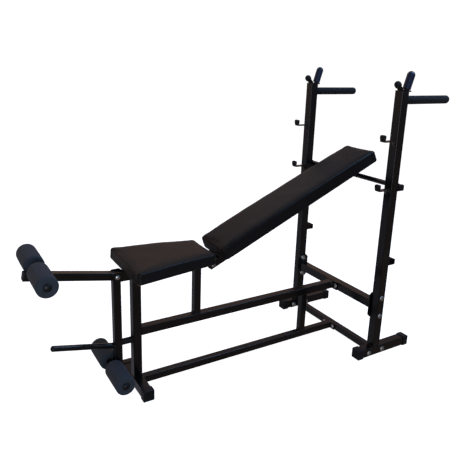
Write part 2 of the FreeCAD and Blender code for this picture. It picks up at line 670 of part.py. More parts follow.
def make_seat():
    """Seat carrier, seat board, seat pad and the bolts that hold the board."""
    front = "(%s + rail_tube / 2)" % FRONT_X
    length = "(%s - %s)" % (BACK_HINGE_X, front)
    carrier = square_tube("seat_carrier", "X", "strut_tube", "strut_wall", length)
    middle = "((%s + %s) / 2)" % (BACK_HINGE_X, front)
    drill(carrier, "XZ_Plane", [("%s / 2" % length, "back_hinge_z - " + CARRIER_Z,
                                 "hinge_tube_radius")])
    places = ["(upright_x - seat_bolt_front)", "(upright_x - seat_bolt_rear)"]
    drill(carrier, "XY_Plane",
          [("%s - %s" % (x, middle), 0, "screw_radius + hole_gap") for x in places])
    node(place(carrier, middle, 0, CARRIER_Z), "seat_carrier")

    start = "(upright_x - seat_ahead)"
    board = extrude("seat_board", "XY_Plane", "board_thick", [pad_outline("board_inset")],
                    [("%s - %s" % (x, start), 0, "screw_radius + hole_gap")
                     for x in places], symmetric=False)
    round_edges(board, "pad_corner - board_inset",
                lambda edge: runs_along(edge, Vector(0, 0, 1)))
    node(place(board, start, 0, SEAT_BOTTOM), "seat_board")

    pad = extrude("seat_pad", "XY_Plane", "seat_foam", [pad_outline("0")], symmetric=False)
    round_edges(pad, "pad_corner", lambda edge: runs_along(edge, Vector(0, 0, 1)))
    top = pad.Shape.BoundBox.ZMax
    round_edges(pad, "pad_edge", lambda edge: abs(edge.CenterOfMass.z - top) < 0.01)
    node(place(pad, start, 0, "seat_top - seat_foam"), "seat_pad")

    screws = []
    for x in places:
        screw = bolt("seat_screw", "strut_tube + board_thick", "screw_radius",
                     "screw_head_radius", "screw_head_height", "-screw_short")
        screws.append(place(screw, x, 0, "%s - strut_tube / 2" % CARRIER_Z))
    group("seat_screws", screws)


def on_back(thing, x, y, z, turn=None):
    """Place an object in the backrest's own frame, which tilts about the hinge."""
    thing.Placement = Placement(Vector(), Rotation(*(turn or UPRIGHT)))
    for letter, text in zip("xyz", (x, y, z)):
        thing.setExpression("Placement.Base." + letter, sized(text))
    return thing


def tilt_back(label, member):
    """Turn a piece or group built in the backrest's frame to its resting slope."""
    tilted = doc.addObject("Part::Compound", label)
    tilted.Links = member
    place(tilted, BACK_HINGE_X, 0, "back_hinge_z", (Vector(0, -1, 0), 0), "back_angle")
    return node(tilted, label)


def make_backrest():
    """Backrest: two rails on the hinge, a board screwed to them, the pad and end plugs."""
    tail, end = "back_rail_tail", "(back_start + back_length - back_rail_short)"
    middle = "((%s - %s) / 2)" % (end, tail)
    spots = ["back_screw_low", "back_screw_high"]
    rails, plugs, screws = [], [], []
    for side, sign, inward, outward in SIDES:
        across = side_y(sign, "back_rail_spread / 2")
        rail = square_tube(side + "_back_rail", "X", "strut_tube", "strut_wall",
                           "%s + %s" % (end, tail))
        drill(rail, "XZ_Plane", [("-" + middle, 0, "axle_radius + pin_gap")])
        drill(rail, "XY_Plane",
              [("%s - %s" % (x, middle), 0, "screw_radius + hole_gap") for x in spots])
        rails.append(on_back(rail, middle, across, 0))
        plug = tube_plug(side + "_back_plug", "strut_tube", "strut_wall", "3")
        plugs.append(on_back(plug, end, across, 0, TO_X))
        for x in spots:
            screw = bolt(side + "_back_screw", "strut_tube + board_thick", "screw_radius",
                         "screw_head_radius", "screw_head_height", "-screw_short")
            screws.append(on_back(screw, x, across, "-strut_tube / 2"))
    tilt_back("back_rails", rails)
    tilt_back("back_rail_plugs", plugs)
    tilt_back("back_screws", screws)

    middle = "(back_start + back_length / 2)"
    holes = [("%s - %s" % (x, middle), "%sback_rail_spread / 2" % sign,
              "screw_radius + hole_gap") for x in spots for sign in "-+"]
    board = extrude("back_board_flat", "XY_Plane", "board_thick",
                    [rectangle("back_length - 2 * board_inset",
                               "back_width - 2 * board_inset")], holes, symmetric=False)
    round_edges(board, "pad_corner - board_inset",
                lambda edge: runs_along(edge, Vector(0, 0, 1)))
    tilt_back("back_board", [on_back(board, middle, 0, "strut_tube / 2")])

    pad = extrude("back_pad_flat", "XY_Plane", "back_foam",
                  [rectangle("back_length", "back_width")], symmetric=False)
    round_edges(pad, "pad_corner", lambda edge: runs_along(edge, Vector(0, 0, 1)))
    top = pad.Shape.BoundBox.ZMax
    round_edges(pad, "pad_edge", lambda edge: abs(edge.CenterOfMass.z - top) < 0.01)
    tilt_back("back_pad", [on_back(pad, middle, 0, "strut_tube / 2 + board_thick")])


def make_back_hinge():
    """Hinge of the backrest: a cross tube on the carrier, spacers, the axle and its nut."""
    outer = "(back_rail_spread / 2 + strut_tube / 2)"
    inner = "(back_rail_spread / 2 - strut_tube / 2)"
    half = "(%s - fit_gap - spacer_thick)" % inner
    tube = rod("hinge_tube", "hinge_tube_radius", "2 * " + half, "axle_radius + pin_gap")
    node(place(tube, BACK_HINGE_X, "-" + half, "back_hinge_z", TO_Y), "back_hinge_tube")
    spacers = []
    for side, sign, inward, outward in SIDES:
        ring = rod(side + "_spacer", "spacer_radius", "spacer_thick",
                   "axle_radius + pin_gap")
        spacers.append(place(ring, BACK_HINGE_X, side_y(sign, half), "back_hinge_z",
                             outward))
    group("back_hinge_spacers", spacers)
    return outer


def make_axles(back_outer):
    """Dome-headed axle bolts of the backrest and of the leg lever, with their nuts."""
    lever_outer = "(strut_tube / 2 + clevis_gap + clevis_thick)"
    pins, nuts = [], []
    for name, half, x, z in (("back_axle", "(%s + fit_gap)" % back_outer, BACK_HINGE_X,
                              "back_hinge_z"),
                             ("lever_axle", lever_outer, LEVER_X, "lever_z")):
        pin = bolt(name, "2 * " + half, "axle_radius")
        pins.append(place(pin, x, "-" + half, z, TO_Y))
        hexagon = nut(name + "_nut", "axle_radius")
        nuts.append(place(hexagon, x, half, z, TO_Y))
    group("hinge_axles", pins)
    group("hinge_nuts", nuts)


def make_clevis():
    """Two ears on the front post that carry the leg lever, and the rubber stop below."""
    face = "(%s - rail_tube / 2)" % FRONT_X
    reach = "(%s - %s)" % (face, LEVER_X)
    half, step = "clevis_height / 2", "clevis_step"
    profile = [(reach, "-(%s)" % half), (reach, "-(%s) + %s" % (half, step)),
               ("%s * 0.55" % reach, "-(%s) + %s" % (half, step)),
               ("%s * 0.35" % reach, half), ("-clevis_reach * 0.5", half),
               ("-clevis_reach", "%s * 0.5" % half), ("-clevis_reach", "-(%s) * 0.5" % half),
               ("-clevis_reach * 0.5", "-(%s)" % half)]
    ears = []
    for side, sign, inward, outward in SIDES:
        ear = extrude(side + "_ear", "XZ_Plane", "clevis_thick", [profile],
                      [(0, 0, "axle_radius + pin_gap")])
        across = side_y(sign, "strut_tube / 2 + clevis_gap + clevis_thick / 2")
        ears.append(place(ear, LEVER_X, across, "lever_z"))
    group("lever_clevis", ears)

    start = "(%s + strut_tube / 2 + fit_gap)" % LEVER_X
    rubber = rod("lever_bumper", "bumper_radius", "%s - %s" % (face, start))
    node(place(rubber, start, 0, "lever_z - bumper_drop", TO_X), "lever_bumper")


def make_lever():
    """Leg lever: a drop tube and a tilted arm about one pivot, with rods, peg and plugs."""
    tilt = (Vector(0, 1, 0), 0)
    arm = square_tube("lever_arm", "X", "strut_tube", "strut_wall", "arm_length + arm_tail")
    drill(arm, "XZ_Plane", [("(arm_length - arm_tail) / 2", 0, "bushing_radius + pin_gap")])
    middle = "((arm_length - arm_tail) / 2)"
    place(arm, "%s - %s * cos(arm_tilt)" % (LEVER_X, middle), 0,
          "lever_z + %s * sin(arm_tilt)" % middle, tilt, "arm_tilt")
    node(arm, "lever_arm")

    drop = square_tube("lever_drop_tube", "Z", "strut_tube", "strut_wall", "lever_drop")
    place(drop, LEVER_X, 0, "lever_z - lever_drop / 2")
    clear = block("arm_space", "4 * strut_tube", "2 * strut_tube", "2 * strut_tube",
                  "%s - 2 * strut_tube * cos(arm_tilt) - strut_tube / 2 * sin(arm_tilt)"
                  % LEVER_X, "-strut_tube",
                  "lever_z + 2 * strut_tube * sin(arm_tilt) - strut_tube / 2 * cos(arm_tilt)")
    clear.Placement = Placement(Vector(), Rotation(Vector(0, 1, 0), 1))
    clear.setExpression("Placement.Rotation.Angle", sized("arm_tilt"))
    node(cut("lever_tube", drop, clear), "lever_tube")

    plugs = []
    plug = tube_plug("arm_plug", "strut_tube", "strut_wall", "5")
    place(plug, "%s - arm_length * cos(arm_tilt)" % LEVER_X, 0,
          "lever_z + arm_length * sin(arm_tilt)", (Vector(0, 1, 0), 0), "arm_tilt - 90")
    plugs.append(plug)
    plug = tube_plug("drop_plug", "strut_tube", "strut_wall", "3")
    plugs.append(place(plug, LEVER_X, 0, "lever_z - lever_drop", UPSIDE_DOWN))
    group("lever_plugs", plugs)

    half = "(strut_tube / 2 + clevis_gap - fit_gap)"
    sleeve = rod("bushing_pipe", "bushing_radius", "2 * " + half, "axle_radius + pin_gap")
    node(place(sleeve, LEVER_X, "-" + half, "lever_z", TO_Y), "lever_bushing")

    face = "(%s - strut_tube / 2)" % LEVER_X
    peg = fuse("tilted_peg", [
        rod("peg_pipe", "peg_radius", "peg_length + 2 * peg_radius"),
        rod("peg_shoulder", "peg_radius + peg_collar_rise", "peg_collar + 2 * peg_radius")])
    place(peg, "%s + 2 * peg_radius * cos(peg_tilt)" % face, 0,
          "lever_z - peg_drop - 2 * peg_radius * sin(peg_tilt)", (Vector(0, 1, 0), 0),
          "peg_tilt - 90")
    wall = block("peg_wall", "3 * strut_tube", "2 * strut_tube", "4 * strut_tube", face,
                 "-strut_tube", "lever_z - peg_drop - 2 * strut_tube")
    node(cut("weight_peg", peg, wall), "weight_peg")


def rod_places():
    """Centres of the two roller rods: on top of the arm and in front of the drop tube."""
    up = "(strut_tube / 2 + rod_radius)"
    return [("upper", "(%s - upper_rod_reach * cos(arm_tilt) + %s * sin(arm_tilt))"
             % (LEVER_X, up),
             "(lever_z + upper_rod_reach * sin(arm_tilt) + %s * cos(arm_tilt))" % up),
            ("lower", "(%s - strut_tube / 2 - rod_radius)" % LEVER_X,
             "(lever_z - lower_rod_drop)")]


def make_rollers():
    """Roller rods with their plugs, the peg's plug, and the four foam rollers."""
    rods, plugs = [], []
    for level, x, z in rod_places():
        half = "(roller_inset + %s_roller_length + rod_stick_out)" % level
        pipe = rod(level + "_rod", "rod_radius", "2 * " + half, "rod_radius - rod_wall")
        rods.append(place(pipe, x, "-" + half, z, TO_Y))
        for side, sign, inward, outward in SIDES:
            plug = fuse("%s_%s_plug" % (side, level), [
                dome("plug_head", "rod_plug_radius", "rod_plug_height"),
                place(rod("plug_spigot", "rod_radius - rod_wall - fit_gap", "plug_depth + 1"),
                      0, 0, "-plug_depth")])
            plugs.append(place(plug, x, side_y(sign, half), z, outward))

            roller = extrude("%s_%s_roller" % (side, level), "XZ_Plane",
                             level + "_roller_length", circles=[
                                 (0, 0, "roller_radius"), (0, 0, "rod_radius + fit_gap")])
            outer_rim = roller.Shape.BoundBox.XMax
            round_edges(roller, "roller_edge",
                        lambda edge: edge.Curve.TypeId == "Part::GeomCircle"
                        and edge.Curve.Radius > outer_rim - 0.01)
            across = side_y(sign, "roller_inset + %s_roller_length / 2" % level)
            node(place(roller, x, across, z), "%s_%s_roller" % (level, side))
    group("roller_rods", rods)
    cap = dome("peg_plug", "peg_radius", "peg_dome")
    face = "(%s - strut_tube / 2)" % LEVER_X
    plugs.append(place(cap, "%s - peg_length * cos(peg_tilt)" % face, 0,
                       "lever_z - peg_drop + peg_length * sin(peg_tilt)",
                       (Vector(0, 1, 0), 0), "peg_tilt - 90"))
    group("rod_plugs", plugs)


def check_document():
    """Stop if an object failed or a sub-part has no sound shape."""
    for item in doc.Objects:
        if "Invalid" in item.State or "Error" in item.State:
            raise ValueError("%s is in state %s" % (item.Label, item.State))
    for item in NODES:
        if item.Shape.isNull() or not item.Shape.isValid() or not item.Shape.Solids:
            raise ValueError("%s has no sound shape" % item.Label)


make_feet()
make_uprights()
make_crossbars()
make_spine()
make_frame_bolts()
make_cradles()
make_dip_handles()
make_hooks()
make_bar_brackets()
make_support_bar()
make_seat()
make_backrest()
make_axles(make_back_hinge())
make_clevis()
make_lever()
make_rollers()
doc.recompute()
check_document()

os.makedirs("parts", exist_ok=True)
for item in NODES:
    item.Shape.exportStep("parts/%s.step" % item.Label)
print("wrote %d sub-parts" % len(NODES))
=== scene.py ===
import json
import math

import bmesh
import bpy
from mathutils import Matrix, Vector, noise


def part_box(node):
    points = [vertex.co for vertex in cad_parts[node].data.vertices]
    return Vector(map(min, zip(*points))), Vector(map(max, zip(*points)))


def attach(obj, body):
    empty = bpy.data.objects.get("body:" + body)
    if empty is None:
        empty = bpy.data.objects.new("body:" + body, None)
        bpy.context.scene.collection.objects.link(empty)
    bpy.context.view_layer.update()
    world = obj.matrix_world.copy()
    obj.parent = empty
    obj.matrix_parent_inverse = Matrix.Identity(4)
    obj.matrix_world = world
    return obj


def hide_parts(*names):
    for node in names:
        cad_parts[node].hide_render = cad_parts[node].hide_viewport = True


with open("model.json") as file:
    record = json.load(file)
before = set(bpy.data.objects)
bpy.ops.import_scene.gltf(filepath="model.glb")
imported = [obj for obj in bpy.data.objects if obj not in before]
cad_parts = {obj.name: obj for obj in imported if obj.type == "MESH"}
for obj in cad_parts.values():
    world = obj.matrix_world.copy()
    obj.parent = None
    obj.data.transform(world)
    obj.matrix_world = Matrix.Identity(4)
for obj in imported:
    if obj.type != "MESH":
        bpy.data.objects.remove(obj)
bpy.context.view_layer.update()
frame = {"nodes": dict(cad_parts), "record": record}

nodes = frame["nodes"]
scene = bpy.context.scene

# places on the bench, in metres, as the CAD has them
UPRIGHT_X = 0.578
UPRIGHT_Y = 0.280
TUBE = 0.040
STRUT = 0.030
RAIL = 0.035
FLANGE = 0.005
FOOT_TOP = 0.0425
LOW_BOLT_Z = 0.0195
LOW_RAIL_TOP = 0.0345
CROSSBAR_Z = 0.238
RAIL_Z = 0.2405
HOOK_HEIGHTS = (0.976, 0.772)
DIP_BAR_Z = 1.143
FRONT_POST_X = UPRIGHT_X - 1.032
SEAT_STRUT_X = UPRIGHT_X - 0.7685
REAR_STRUT_X = UPRIGHT_X - 0.199
BACK_SLOPE = math.radians(24)
BACK_HINGE = Vector((UPRIGHT_X - 0.7165, 0, 0.4765))
ARM_SLOPE = math.radians(10.5)
LEVER_PIVOT = Vector((UPRIGHT_X - 1.108, 0, 0.488))
SIDES = ((-1, "left"), (1, "right"))


# -------------------------------------------------------- finishes

class Signal:
    """A shader socket that takes part in sums and products."""

    def __init__(self, finish, socket):
        self.finish = finish
        self.socket = socket

    def maths(self, operation, first, second):
        return self.finish.add("ShaderNodeMath", {"operation": operation},
                               {0: first, 1: second})

    def __add__(self, other):
        return self.maths("ADD", self, other)

    def __sub__(self, other):
        return self.maths("SUBTRACT", self, other)

    def __rsub__(self, other):
        return self.maths("SUBTRACT", other, self)

    def __mul__(self, other):
        return self.maths("MULTIPLY", self, other)

    def __pow__(self, other):
        return self.maths("POWER", self, other)

    __radd__ = __add__
    __rmul__ = __mul__


class Finish:
    """One material. Its fixed values sit on the shader, and nodes are added by type."""

    def __init__(self, name, **fixed):
        self.material = bpy.data.materials.new(name)
        self.material.use_nodes = True
        self.tree = self.material.node_tree
        self.shader = self.tree.nodes["Principled BSDF"]
        self.here = self.add("ShaderNodeTexCoord", output="Object")
        for socket, value in fixed.items():
            self.shader.inputs[socket.replace("_", " ")].default_value = value

    def add(self, kind, settings=None, sockets=None, output=0):
        """Add a node, set it up, feed its sockets and return one of its outputs."""
        node = self.tree.nodes.new(kind)
        for name, value in (settings or {}).items():
            if name == "stops":
                for element, (place, grey) in zip(node.color_ramp.elements, value):
                    element.position = place
                    element.color = (grey, grey, grey, 1)
            else:
                setattr(node, name, value)
        for name, value in (sockets or {}).items():
            self.feed(node.inputs[name], value)
        return Signal(self, node.outputs[output])

    def feed(self, socket, value):
        if isinstance(value, Signal):
            self.tree.links.new(value.socket, socket)
        else:
            socket.default_value = value

    def speckle(self, scale, detail, roughness=0.5, stretch=None):
        """Soft noise, stretched along an axis if need be."""
        place = self.here
        if stretch is not None:
            place = self.add("ShaderNodeMapping", {},
                             {"Vector": place, "Scale": stretch})
        return self.add("ShaderNodeTexNoise", {},
                        {"Vector": place, "Scale": scale, "Detail": detail,
                         "Roughness": roughness})

    def cells(self, scale):
        """Distance inside small cells, such as grain or foam pores."""
        return self.add("ShaderNodeTexVoronoi", {"feature": "F1"},
                        {"Vector": self.here, "Scale": scale})

    def between(self, signal, low, high):
        """Turn a signal into a mask that rises from low to high."""
        return self.add("ShaderNodeValToRGB", {"stops": ((low, 0), (high, 1))},
                        {0: signal})

    def tint(self, first, second, mask):
        """Blend two colours."""
        return self.add("ShaderNodeMix", {"data_type": "RGBA"},
                        {0: mask, 6: (*first, 1), 7: (*second, 1)}, output=2)

    def blend(self, first, second, mask):
        """Blend a colour signal towards a plain colour."""
        return self.add("ShaderNodeMix", {"data_type": "RGBA"},
                        {0: mask, 6: first, 7: (*second, 1)}, output=2)

    def surface(self, colour, roughness, height, depth, strength, metallic=None):
        """Join colour, roughness and relief to the shader."""
        self.feed(self.shader.inputs["Base Color"], colour)
        self.feed(self.shader.inputs["Roughness"], roughness)
        if metallic is not None:
            self.feed(self.shader.inputs["Metallic"], metallic)
        relief = self.add("ShaderNodeBump", {},
                          {"Strength": strength, "Distance": depth, "Height": height})
        self.feed(self.shader.inputs["Normal"], relief)
        return self.material


def make_enamel():
    """Gloss black enamel on tube: orange peel, thin dust and small scuffs."""
    paint = Finish("black_enamel", Coat_Weight=0.25, Coat_Roughness=0.12, IOR=1.5)
    dust = paint.between(paint.speckle(9, 5, 0.6), 0.42, 0.75)
    scuffs = paint.between(paint.speckle(60, 8, 0.75, (1, 1, 0.35)), 0.66, 0.72)
    colour = paint.tint((0.0035, 0.0034, 0.0042), (0.009, 0.0085, 0.009), dust)
    colour = paint.blend(colour, (0.05, 0.05, 0.05), scuffs * 0.4)
    roughness = 0.20 + dust * 0.12 + scuffs * 0.25
    peel = paint.speckle(420, 2) + paint.speckle(90, 2) * 0.8 - scuffs * 0.4
    return paint.surface(colour, roughness, peel, 0.00022, 0.55)


def make_hook_enamel():
    """The same enamel on flat hooks, worn to bare metal where a bar is set down."""
    paint = Finish("worn_enamel", IOR=1.5)
    wear = paint.between(paint.speckle(70, 9, 0.7), 0.50, 0.62)
    colour = paint.tint((0.010, 0.0095, 0.010), (0.30, 0.27, 0.25), wear)
    return paint.surface(colour, 0.24 + wear * 0.14, paint.speckle(420, 3) - wear * 0.5,
                         0.0002, 0.6, metallic=wear * 0.9)


def make_weld():
    """Ripples of a weld bead under black enamel."""
    bead = Finish("painted_weld", Coat_Weight=0.2, Coat_Roughness=0.15)
    ripples = bead.cells(520) + bead.speckle(700, 4) * 0.6
    colour = bead.tint((0.0035, 0.0034, 0.004), (0.012, 0.011, 0.011),
                       bead.speckle(150, 5))
    return bead.surface(colour, 0.26 + bead.speckle(90, 3) * 0.16, ripples, 0.0009, 0.8)


def make_zinc():
    """Bright zinc plate with a faint bluish and yellowish cloud."""
    plate = Finish("zinc_plate", Metallic=1.0)
    cloud = plate.speckle(120, 4, 0.6)
    colour = plate.tint((0.60, 0.64, 0.70), (0.78, 0.76, 0.70), cloud)
    return plate.surface(colour, 0.20 + plate.speckle(400, 5) * 0.2,
                         plate.speckle(900, 4), 0.00012, 0.5)


def make_cap_plastic():
    """Moulded black plastic with a fine spark-eroded grain and paler rubbed spots."""
    plastic = Finish("cap_plastic", IOR=1.46)
    rubbed = plastic.between(plastic.speckle(40, 7, 0.65), 0.55, 0.75)
    colour = plastic.tint((0.0085, 0.010, 0.014), (0.024, 0.025, 0.029), rubbed * 0.6)
    return plastic.surface(colour, 0.36 + rubbed * 0.18,
                           plastic.speckle(1500, 3) + plastic.cells(900) * 0.4,
                           0.00015, 0.5)


def make_nylon():
    """Off-white nylon of bushings and spacers."""
    nylon = Finish("nylon", IOR=1.53, Subsurface_Weight=0.1)
    stain = nylon.speckle(90, 5)
    return nylon.surface(nylon.tint((0.62, 0.61, 0.56), (0.74, 0.74, 0.70), stain),
                         0.42 + stain * 0.1, nylon.speckle(600, 3), 0.0001, 0.4)


def make_rubber():
    """Dull black rubber with a dry, slightly chalky face."""
    rubber = Finish("soft_rubber", IOR=1.45)
    bloom = rubber.between(rubber.speckle(55, 6, 0.6), 0.45, 0.8)
    colour = rubber.tint((0.005, 0.005, 0.006), (0.014, 0.014, 0.016), bloom)
    return rubber.surface(colour, 0.58 + bloom * 0.2, rubber.speckle(1100, 4), 0.00018,
                          0.6)


def make_sleeve():
    """Smooth dark plastic sleeve with faint drawn lines, tinted blue as a painted
    reflection of the cool window light.
    """
    sleeve = Finish("sleeve_plastic", IOR=1.5, Coat_Weight=0.15, Coat_Roughness=0.2)
    streaks = sleeve.speckle(240, 4, 0.6, (1, 1, 0.06))
    cloud = sleeve.speckle(30, 4)
    # dark plastic colour with painted light mixed in: the blue stands in for the cool
    # window light the sleeve reflects
    colour = sleeve.tint((0.010, 0.019, 0.050), (0.017, 0.030, 0.074), cloud)
    return sleeve.surface(colour, 0.30 + streaks * 0.16, streaks, 0.00016, 0.5)


def make_foam(name, dark, pale, pore):
    """Closed-cell foam: fine pores, a soft sheen and shallow dents."""
    foam = Finish(name, IOR=1.4, Sheen_Weight=0.12, Sheen_Roughness=0.5)
    pores = foam.between(foam.cells(pore), 0.10, 0.55)
    dents = foam.speckle(38, 4)
    mottle = foam.speckle(pore * 0.4, 5, 0.7)
    colour = foam.tint(dark, pale, mottle * 0.6 + dents * 0.4)
    return foam.surface(colour, 0.72 + mottle * 0.16, pores + dents * 2.0 + mottle,
                        0.00035, 0.55)


def make_vinyl():
    """Black upholstery vinyl: pebbled grain, finer creases and a worn satin gloss."""
    vinyl = Finish("black_vinyl", IOR=1.30, Sheen_Weight=0.08, Sheen_Roughness=0.4)
    pebbles = vinyl.cells(620) ** 0.7
    creases = vinyl.speckle(330, 6, 0.65)
    wear = vinyl.speckle(7, 4, 0.6)
    colour = vinyl.tint((0.0085, 0.0072, 0.0076), (0.0155, 0.0125, 0.0122),
                        wear * 0.7 + creases * 0.3)
    return vinyl.surface(colour, 0.30 + wear * 0.14 + creases * 0.06,
                         pebbles + creases * 0.7, 0.00030, 0.5)


def make_board():
    """Pressed particle board: coarse chips of several browns."""
    board = Finish("particle_board", IOR=1.4)
    chips = board.cells(260)
    fibres = board.speckle(500, 6, 0.7, (0.25, 1, 1))
    colour = board.tint((0.26, 0.165, 0.085), (0.46, 0.33, 0.20), chips + fibres * 0.3)
    return board.surface(colour, 0.70 + fibres * 0.15, chips + fibres, 0.0004, 0.7)


ENAMEL = make_enamel()
WORN = make_hook_enamel()
WELD = make_weld()
ZINC = make_zinc()
CAP = make_cap_plastic()
NYLON = make_nylon()
RUBBER = make_rubber()
SLEEVE = make_sleeve()
# roller foam colours: grey foam, with a blue tint painted in for the cool light falling
# on the rollers
ROLLER_FOAM = make_foam("roller_foam", (0.032, 0.043, 0.060), (0.058, 0.072, 0.094),
                        pore=900)
GRIP_FOAM = make_foam("grip_foam", (0.0030, 0.0034, 0.0044), (0.0075, 0.0080, 0.0098),
                      pore=1100)
VINYL = make_vinyl()
BOARD = make_board()

SLOT_FINISH = {"painted_steel": ENAMEL, "zinc_steel": ZINC, "black_plastic": CAP,
               "nylon": NYLON, "black_rubber": RUBBER, "sleeve_plastic": SLEEVE,
               "grip_foam": GRIP_FOAM, "roller_foam": ROLLER_FOAM, "board": BOARD,
               "vinyl": VINYL}
for part in frame["record"]["subparts"]:
    for holder in nodes[part["node"]].material_slots:
        holder.material = SLOT_FINISH[part["material_slot"]]
for name in ("upper_hooks", "lower_hooks"):
    for holder in nodes[name].material_slots:
        holder.material = WORN


# -------------------------------------------------------- ways of working

def alone(piece):
    """Make a piece the only selected and active one."""
    if bpy.context.object is not None and bpy.context.object.mode != "OBJECT":
        bpy.ops.object.mode_set(mode="OBJECT")
    bpy.ops.object.select_all(action="DESELECT")
    piece.select_set(True)
    bpy.context.view_layer.objects.active = piece
    return piece


def started(name):
    """Name the primitive that was just added and open it in edit mode."""
    piece = alone(bpy.context.object)
    piece.name = name
    piece.data.name = name
    bpy.ops.object.mode_set(mode="EDIT")
    return piece


def pick(piece, wanted, kind="FACE"):
    """Select the faces or edges that a test picks."""
    bpy.ops.mesh.select_mode(type=kind)
    bpy.ops.mesh.select_all(action="DESELECT")
    mesh = bmesh.from_edit_mesh(piece.data)
    for item in (mesh.faces if kind == "FACE" else mesh.edges):
        if wanted(item):
            item.select_set(True)
    mesh.select_flush_mode()
    bmesh.update_edit_mesh(piece.data)


def middle(edge):
    """Middle point of an edge."""
    return (edge.verts[0].co + edge.verts[1].co) / 2


def settle(piece, place=None):
    """Leave edit mode and write the piece's place into its mesh."""
    alone(piece)
    if place is not None:
        piece.matrix_world = place @ piece.matrix_world
    bpy.ops.object.transform_apply(location=True, rotation=True, scale=True)
    return piece


def finished(piece, material, body, sharp=35):
    """Give a piece its finish, smooth shading and the body that it rides on."""
    alone(piece)
    piece.data.materials.clear()
    piece.data.materials.append(material)
    bpy.ops.object.shade_smooth_by_angle(angle=math.radians(sharp))
    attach(piece, body)


def twin(piece, name, place):
    """Copy a piece with a mesh of its own and set the copy down elsewhere."""
    other = piece.copy()
    other.data = piece.data.copy()
    other.name = name
    other.data.name = name
    scene.collection.objects.link(other)
    return settle(other, place)


def joined(pieces, name):
    """Join pieces into one."""
    alone(pieces[0])
    for piece in pieces:
        piece.select_set(True)
    bpy.ops.object.join()
    whole = bpy.context.object
    whole.name = name
    return whole


def turned(name, steps, sides, hollow=False):
    """Raise a ring along +Z through radius and height steps, then close it."""
    radius, height = steps[0]
    bpy.ops.mesh.primitive_circle_add(vertices=sides, radius=radius,
                                      location=(0, 0, height))
    piece = started(name)
    bpy.ops.mesh.select_all(action="SELECT")
    for (wide, low), (next_wide, high) in zip(steps, steps[1:]):
        bpy.ops.mesh.extrude_edges_move(
            TRANSFORM_OT_translate={"value": (0, 0, high - low)})
        grow = next_wide / wide
        bpy.ops.transform.resize(value=(grow, grow, 1), center_override=(0, 0, high))
    bpy.ops.mesh.select_all(action="DESELECT")
    bpy.ops.mesh.select_mode(type="EDGE")
    bpy.ops.mesh.select_non_manifold()
    if hollow:
        bpy.ops.mesh.bridge_edge_loops()
    else:
        bpy.ops.mesh.fill_holes(sides=0)
    bpy.ops.mesh.select_all(action="SELECT")
    bpy.ops.mesh.normals_make_consistent(inside=False)
    return settle(piece)


def facing(direction, place):
    """Matrix that stands +Z along a direction at a place."""
    turn = Vector((0, 0, 1)).rotation_difference(Vector(direction))
    return Matrix.Translation(place) @ turn.to_matrix().to_4x4()


# -------------------------------------------------------- camera, floor and light

def make_camera():
    """Camera at standing height, ahead of the bench and to its left."""
    bpy.ops.object.camera_add()
    camera = bpy.context.object
    camera.matrix_world = (Matrix.Translation((-1.1163, -1.7682, 1.2783))
                           @ Matrix.Rotation(math.radians(-31.348), 4, "Z")
                           @ Matrix.Rotation(math.radians(74.418), 4, "X")
                           @ Matrix.Rotation(math.radians(1.870), 4, "Z"))
    camera.data.lens = 40.14
    camera.data.sensor_width = 36
    camera.data.shift_x = -0.0006
    camera.data.shift_y = -0.0625
    scene.camera = camera


